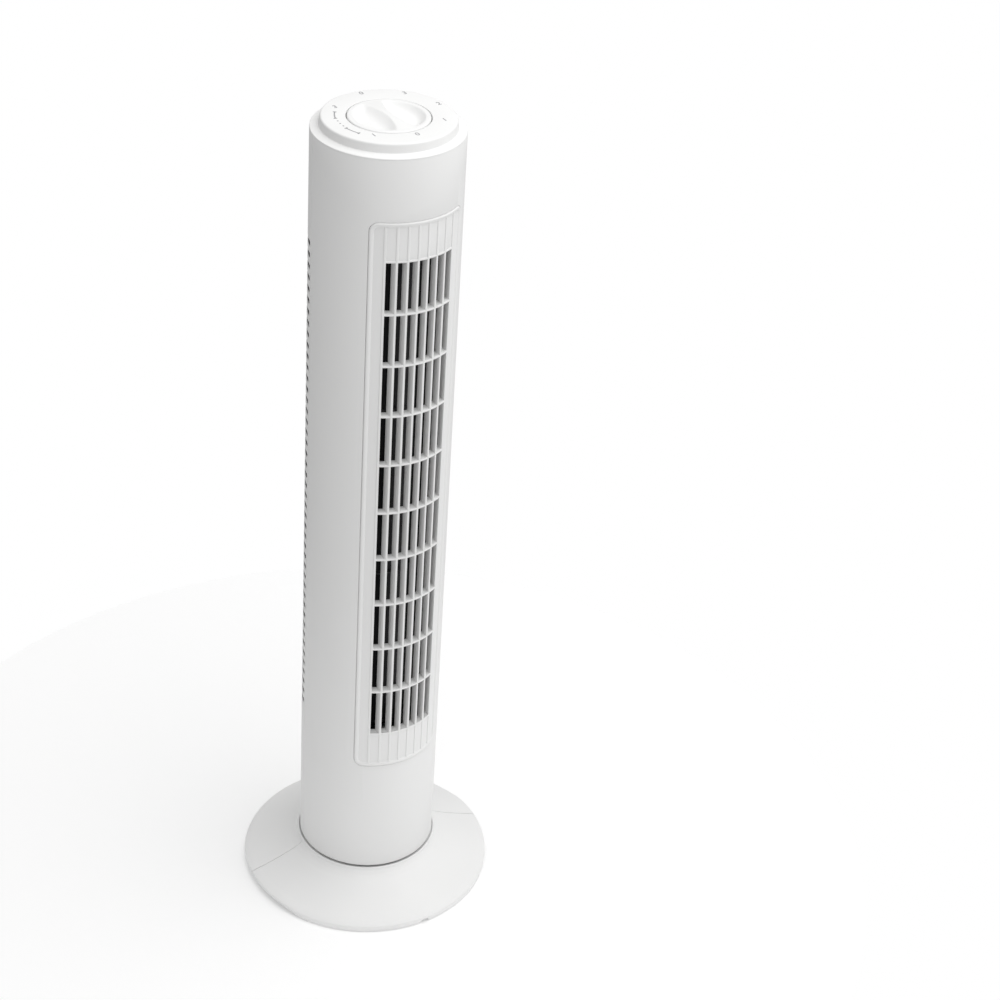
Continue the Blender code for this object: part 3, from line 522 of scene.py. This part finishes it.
def bead(bm, half_u, bottom, top, radius):
    """The rounded border of the grille: its section carried round a rounded rectangle on the column."""
    section = [(0, -WALL), (0, -0.0006), (-0.0004, 0.0001), (-0.0012, 0.0006), (-0.0022, 0.0006),
               (-0.0032, 0.0002), (-0.0038, -0.0003), (-BEAD_W, -PANEL_SINK - 0.0001), (-BEAD_W, -WALL)]
    outline = rounded_rectangle(half_u, bottom, top, radius, 12)
    path = []
    for here, there in zip(outline, outline[1:] + outline[:1]):
        span = math.hypot(there[0] - here[0], there[1] - here[1])
        pieces = max(1, round(span / 0.002)) if abs(there[0] - here[0]) > 0.002 else 1
        for i in range(pieces):
            t = i / pieces
            path.append(Vector((here[0] + (there[0] - here[0]) * t, here[1] + (there[1] - here[1]) * t)))
    rows = []
    for i, point in enumerate(path):
        into, out = point - path[i - 1], path[(i + 1) % len(path)] - point
        along = (into.normalized() + out.normalized()).normalized()
        outward = Vector((along.y, -along.x))
        row = []
        for offset, height in section:
            u, z = point + outward * offset
            row.append(bm.verts.new(on_azimuth(COLUMN_R + height, math.degrees(u / COLUMN_R), z)))
        rows.append(row)
    for row, following in zip(rows, rows[1:] + rows[:1]):
        bridge(bm, row, following)


def front_y(x, radius):
    return -math.sqrt(radius ** 2 - x ** 2)


def outlet_grille():
    """Border bead, plain panel with a window, upright fins that run on as ribs, and level bars."""
    fins = [(i - SLOT_COLUMNS / 2) * SLOT_PITCH for i in range(SLOT_COLUMNS + 1)]
    outer_half = COLUMN_R * math.asin(GRILLE_HALF / COLUMN_R)
    jamb = COLUMN_R * math.asin((fins[-1] + FIN_T / 2) / COLUMN_R)
    inset = BEAD_W - 0.0012
    panel = rounded_rectangle(outer_half - inset, GRILLE_BOTTOM + inset, GRILLE_TOP - inset,
                              GRILLE_CORNER - inset)
    window = [(-jamb, LAST_SLOT_BOTTOM), (jamb, LAST_SLOT_BOTTOM),
              (jamb, FIRST_SLOT_TOP), (-jamb, FIRST_SLOT_TOP)]
    bm = wrapped_sheet([panel, window], WALL - PANEL_SINK, 0.0002, COLUMN_R - PANEL_SINK)
    bead(bm, outer_half, GRILLE_BOTTOM, GRILLE_TOP, GRILLE_CORNER)

    half_t, ease = FIN_T / 2, 0.0004
    for x in fins:
        left, right, back = x - half_t, x + half_t, front_y(x, COLUMN_R) + FIN_DEPTH
        corners = [(left, front_y(left, COLUMN_R), ease), (right, front_y(right, COLUMN_R), ease),
                   (right, back, 0.0002), (left, back, 0.0002)]
        prism(bm, rounded(corners, 3), GRILLE_BOTTOM + BEAD_W - 0.0006, GRILLE_TOP - BEAD_W + 0.0006)

    reach = fins[-1]
    steps = 28
    across = [-reach + 2 * reach * i / steps for i in range(steps + 1)]
    bar_tops = [FIRST_SLOT_TOP + BAR_T - row * ROW_PITCH for row in range(SLOT_ROWS + 1)]
    for top in bar_tops:
        face = COLUMN_R - 0.0001
        section = rounded([(face, top, 0.0004), (face, top - BAR_T, 0.0004), (0, top - BAR_T, 0),
                           (0, top, 0)], 3)
        rows = []
        for x in across:
            row = []
            for radius, z in section:
                y = front_y(x, radius) if radius > 0.01 else front_y(x, COLUMN_R) + FIN_DEPTH
                row.append(bm.verts.new((x, y, z)))
            rows.append(row)
        for row, following in zip(rows, rows[1:]):
            bridge(bm, row, following)
        bm.faces.new(rows[0])
        bm.faces.new(rows[-1][::-1])
    return piece("outlet_grille_insert", bm, WHITE, "tower", ["outlet_grille"])


def top_cover():
    under = COLUMN_TOP + 0.0003
    outline = rounded([(0.0050, WELL_FLOOR, 0.0003), (WELL_R, WELL_FLOOR, 0.0004),
                       (WELL_R, DISC_TOP, 0.0006), (DISC_R + 0.0006, DISC_TOP, 0.0018),
                       (LEDGE_R, 0.7802, 0.0006), (COLUMN_R - 0.0002, 0.7786, 0.0010),
                       (COLUMN_R, under, 0), (0.0617, under, 0), (0.0617, 0.7680, 0.0003),
                       (0.0602, 0.7680, 0.0003),
                       (0.0602, 0.7765, 0.0003), (0.0550, 0.7765, 0), (0.0546, DISC_TOP - WALL, 0),
                       (0.0380, DISC_TOP - WALL, 0), (0.0380, WELL_FLOOR - WALL, 0),
                       (0.0050, WELL_FLOOR - WALL, 0)], 5)
    bm = bmesh.new()
    lathe(bm, outline, 180)
    return piece("top_cover_moulding", bm, WHITE, "tower", ["top_cover"], 40)


def screw_heads():
    """Cross-recessed heads in the wells of the rear housing."""
    for number in range(1, 5):
        low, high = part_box(f"housing_screw_{number}")
        middle = (low + high) / 2
        outward = Vector((middle.x, middle.y, 0)).normalized()
        bm = bmesh.new()
        lathe(bm, rounded([(0.0, 0.0016, 0), (0.0022, 0.0015, 0.0012), (0.0034, 0.0006, 0.0008),
                           (0.0034, 0, 0), (0.0015, 0, 0),
                           (0.0015, -0.0085, 0.0003), (0.0, -0.0085, 0)], 3)[::-1], 32)
        bmesh.ops.remove_doubles(bm, verts=bm.verts, dist=0.00001)
        for turn in (0, 90):
            blade = bmesh.ops.create_cube(bm, size=1.0)["verts"]
            bmesh.ops.scale(bm, vec=(0.0034, 0.0007, 0.0003), verts=blade)
            quarter = Matrix.Rotation(math.radians(turn), 3, "Z")
            bmesh.ops.rotate(bm, cent=(0, 0, 0), matrix=quarter, verts=blade)
            bmesh.ops.translate(bm, vec=(0, 0, 0.00155), verts=blade)
        seat = Matrix.Translation(outward * (COLUMN_R - 0.0017) + Vector((0, 0, middle.z)))
        bm.transform(seat @ outward.to_track_quat("Z", "Y").to_matrix().to_4x4())
        piece(f"housing_screw_head_{number}", bm, STEEL, "tower", [f"housing_screw_{number}"])


front_housing()
rear_housing()
outlet_grille()
top_cover()
screw_heads()


# ---------------------------------------------------------------- knob
def eased(value):
    return math.sin(min(max(value, 0.0), 1.0) * math.pi / 2)


def knob_height(x, y):
    """Height of the knob's face: a rim and two scooped hollows that leave a waisted grip bar along Y."""
    radius = math.hypot(x, y)
    bar_edge = BAR_WAIST + (BAR_FLARE - BAR_WAIST) * (y / HOLLOW_R) ** 2
    depth = HOLLOW_DEPTH * eased((HOLLOW_R - radius) / 0.008) * eased((abs(x) - bar_edge) / 0.011)
    crown = (KNOB_TOP - KNOB_RIM_TOP) * (1 - min(radius / HOLLOW_R, 1.0) ** 2)
    return KNOB_RIM_TOP + crown - depth


def knob():
    bm = bmesh.new()
    sides = 160
    radii = [HOLLOW_R * i / 40 for i in range(1, 41)] + [0.0311, 0.0322, 0.0333]
    rows = [[bm.verts.new(on_azimuth(r, 360 * i / sides)) for i in range(sides)] for r in radii]
    for row in rows:
        for vertex in row:
            vertex.co.z = knob_height(vertex.co.x, vertex.co.y)
    centre = bm.verts.new((0, 0, KNOB_TOP))
    for i in range(sides):
        bm.faces.new((centre, rows[0][i], rows[0][(i + 1) % sides]))
    side = [(KNOB_R - 0.0008, KNOB_RIM_TOP - 0.00012), (KNOB_R - 0.00025, KNOB_RIM_TOP - 0.0005),
            (KNOB_R, KNOB_RIM_TOP - 0.0012), (KNOB_R, KNOB_BOTTOM + 0.0003), (KNOB_R - 0.0003, KNOB_BOTTOM),
            (KNOB_R - 0.0025, KNOB_BOTTOM)]
    for radius, z in side:
        rows.append([bm.verts.new(on_azimuth(radius, 360 * i / sides, z)) for i in range(sides)])
    for row, following in zip(rows, rows[1:]):
        bridge(bm, row, following)
    bm.faces.new(rows[-1])
    return piece("dial_knob", bm, KNOB_WHITE, "dial", ["knob"], 50)


knob()


# ---------------------------------------------------------------- printed marks round the knob
def printed(name, bm):
    return piece(name, bm, INK, "tower")


INK_T = 0.00006
MARKS = (("0", 4, 0.0418), ("1", 56, 0.0455), ("2", 96, 0.0503), ("3", 136, 0.0507),
         ("0", 178, 0.0505), ("3", 223, 0.0466), ("1", 314, 0.0418))


def ring_stroke(bm, radius, width, start, end):
    """A flat arc printed on the disc."""
    steps = max(2, round(abs(end - start) / 3))
    inner, outer, top = radius - width / 2, radius + width / 2, DISC_TOP + INK_T
    lathe(bm, [(inner, DISC_TOP), (outer, DISC_TOP), (outer, top), (inner, top)], steps, start, end)


def numeral(text, azimuth, radius):
    """A digit printed flat on the disc, upright as seen from the outlet side."""
    font = bpy.data.curves.new(f"numeral_{azimuth}", "FONT")
    font.body = text
    font.size = 0.0074
    font.offset = 0.00014
    font.extrude = INK_T / 2
    font.align_x = "CENTER"
    font.align_y = "CENTER"
    guide = bpy.data.objects.new(font.name, font)
    bpy.context.scene.collection.objects.link(guide)
    bpy.context.view_layer.update()
    mesh = bpy.data.meshes.new_from_object(guide.evaluated_get(bpy.context.evaluated_depsgraph_get()))
    bpy.data.objects.remove(guide)
    bm = bmesh.new()
    bm.from_mesh(mesh)
    bmesh.ops.remove_doubles(bm, verts=bm.verts, dist=0.000001)
    bm.transform(Matrix.Translation(on_azimuth(radius, azimuth, DISC_TOP + INK_T / 2)))
    printed(f"mark_{text}_{azimuth}", bm)


for digit, turn, distance in MARKS:
    numeral(digit, turn, distance)

swing_mark = bmesh.new()
for start, end in ((236, 253), (280, 298)):
    ring_stroke(swing_mark, 0.0446, 0.0011, start, end)
    for tick in (start, end):
        ring_stroke(swing_mark, 0.0446, 0.0030, tick - 0.8, tick + 0.8)
for dot in (260, 267, 274):
    ring_stroke(swing_mark, 0.0440, 0.0013, dot - 1, dot + 1)
printed("swing_mark", swing_mark)


# ---------------------------------------------------------------- impeller
def impeller():
    """Cross-flow wheel: forward-curved blades between thin rings, with a hub disc at each end."""
    centre = (0, ROTOR_Y)
    ring_t, hub_r, hub_l = 0.002, 0.009, 0.012
    bm = bmesh.new()
    bottom, top = IMPELLER_BOTTOM, IMPELLER_TOP
    lathe(bm, rounded([(0.0043, bottom + hub_l, 0), (hub_r, bottom + hub_l, 0.0005),
                       (hub_r, bottom + ring_t, 0.001), (IMPELLER_R, bottom + ring_t, 0.0003),
                       (IMPELLER_R, bottom, 0.0003), (0.0043, bottom, 0)], 3), 96, centre=centre)
    lathe(bm, rounded([(0.0033, top, 0), (IMPELLER_R, top, 0.0003), (IMPELLER_R, top - ring_t, 0.0003),
                       (hub_r, top - ring_t, 0.001), (hub_r, top - hub_l, 0.0005),
                       (0.0033, top - hub_l, 0)], 3), 96, centre=centre)
    for i in range(1, RING_GAPS):
        z = bottom + i * (top - bottom) / RING_GAPS
        inner, above, below = BLADE_INNER_R - 0.001, z + ring_t / 2, z - ring_t / 2
        lathe(bm, rounded([(inner, above, 0.0003), (IMPELLER_R, above, 0.0003),
                           (IMPELLER_R, below, 0.0003), (inner, below, 0.0003)], 2), 96, centre=centre)
    for blade in range(BLADES):
        turn = 360 * blade / BLADES
        line = []
        for i in range(6):
            t = i / 5
            radius = BLADE_INNER_R + (IMPELLER_R - 0.0002 - BLADE_INNER_R) * t
            x, y = on_azimuth(radius, turn + 14 * t ** 1.6)[:2]
            line.append(Vector((x, y + ROTOR_Y)))
        left, right = [], []
        for i, point in enumerate(line):
            along = (line[min(i + 1, 5)] - line[max(i - 1, 0)]).normalized()
            half = 0.0005 if 0 < i < 5 else 0.0003
            left.append(point + Vector((-along.y, along.x)) * half)
            right.append(point - Vector((-along.y, along.x)) * half)
        prism(bm, left + right[::-1], bottom + ring_t / 2, top - ring_t / 2)
    return piece("impeller_wheel", bm, BLACK, "rotor", ["impeller"])


impeller()

# ---------------------------------------------------------------- floor, light and camera
FLOOR_R = 0.5
floor_mesh = bmesh.new()
bmesh.ops.create_circle(floor_mesh, cap_ends=True, segments=96, radius=FLOOR_R)
floor_data = bpy.data.meshes.new("floor")
floor_mesh.to_mesh(floor_data)
floor_mesh.free()
floor = bpy.data.objects.new("floor", floor_data)
bpy.context.scene.collection.objects.link(floor)
floor_material, _, _, floor_shader = node_material("pale_floor")
floor_shader.inputs["Base Color"].default_value = (0.88, 0.88, 0.88, 1)
floor_shader.inputs["Roughness"].default_value = 0.9
floor_shader.inputs["Specular IOR Level"].default_value = 0.0
floor_shader.inputs["Emission Color"].default_value = (1, 1, 1, 1)
floor_shader.inputs["Emission Strength"].default_value = 0.17
floor_data.materials.append(floor_material)

CAMERA_AZIMUTH = -33.6          # heading of the view, from +Y towards +X, reversed
CAMERA_PITCH = 32.505
CAMERA_ROLL = 3.846
CAMERA_AT = (-0.8706, -1.5116, 1.5333)


def lamp_towards(data, azimuth, elevation, distance=0.0, target=(0, 0, 0)):
    """Hang a lamp at an azimuth and elevation (degrees) from a target, pointing at it."""
    flat = math.cos(math.radians(elevation))
    direction = on_azimuth(flat, azimuth, math.sin(math.radians(elevation)))
    lamp = bpy.data.objects.new(data.name, data)
    lamp.location = Vector(target) + direction * distance
    lamp.rotation_euler = direction.to_track_quat("Z", "Y").to_euler()
    bpy.context.scene.collection.objects.link(lamp)


box = bpy.data.lights.new("top_softbox", "AREA")
box.shape = "DISK"
box.size = 1.6
box.energy = 13
lamp_towards(box, 50, 72, 1.5, (0, 0, COLUMN_TOP))

world = bpy.data.worlds.new("studio")
bpy.context.scene.world = world
world.use_nodes = True
world_nodes, world_links = world.node_tree.nodes, world.node_tree.links
sky_direction = world_nodes.new("ShaderNodeTexCoord").outputs["Generated"]


def sky_lobe(towards, start, end, radiance):
    """Radiance that rises from 0 to its full value as the direction turns towards a vector."""
    dot = world_nodes.new("ShaderNodeVectorMath")
    dot.operation = "DOT_PRODUCT"
    dot.inputs[1].default_value = towards
    world_links.new(sky_direction, dot.inputs[0])
    return ranged(world_nodes, world_links, dot.outputs["Value"], 0, radiance, start, end)


def added(first, second):
    total = world_nodes.new("ShaderNodeMath")
    world_links.new(first, total.inputs[0])
    world_links.new(second, total.inputs[1])
    return total.outputs["Value"]


SKY_UP, SKY_DOWN, SKY_RIGHT, SKY_ZENITH = 0.28, 0.52, 0.47, 0.68
lobes = (((0, 0, 1), -0.02, 0.02, SKY_UP), ((0, 0, -1), -0.02, 0.02, SKY_DOWN),
         (tuple(on_azimuth(1, 26)), 0.0, 1.0, SKY_RIGHT), ((0, 0, 1), 0.3, 1.0, SKY_ZENITH))
radiance = sky_lobe(*lobes[0])
for lobe in lobes[1:]:
    radiance = added(radiance, sky_lobe(*lobe))
fill = world_nodes["Background"]
fill.inputs["Color"].default_value = (1, 1, 1, 1)
world_links.new(radiance, fill.inputs["Strength"])
backdrop = world_nodes.new("ShaderNodeBackground")
backdrop.inputs["Color"].default_value = (1, 1, 1, 1)
backdrop.inputs["Strength"].default_value = 1.0
seen = world_nodes.new("ShaderNodeLightPath")
either = world_nodes.new("ShaderNodeMixShader")
world_links.new(seen.outputs["Is Camera Ray"], either.inputs["Fac"])
world_links.new(fill.outputs["Background"], either.inputs[1])
world_links.new(backdrop.outputs["Background"], either.inputs[2])
world_links.new(either.outputs["Shader"], world_nodes["World Output"].inputs["Surface"])

camera_data = bpy.data.cameras.new("camera")
camera_data.sensor_width = 36.0
camera_data.lens = 82.408
camera = bpy.data.objects.new("camera", camera_data)
bpy.context.scene.collection.objects.link(camera)
camera.matrix_world = (Matrix.Translation(CAMERA_AT)
                       @ Matrix.Rotation(math.radians(CAMERA_AZIMUTH), 4, "Z")
                       @ Matrix.Rotation(math.radians(90 - CAMERA_PITCH), 4, "X")
                       @ Matrix.Rotation(math.radians(CAMERA_ROLL), 4, "Z"))
bpy.context.scene.camera = camera
bpy.context.scene.view_settings.view_transform = "Standard"
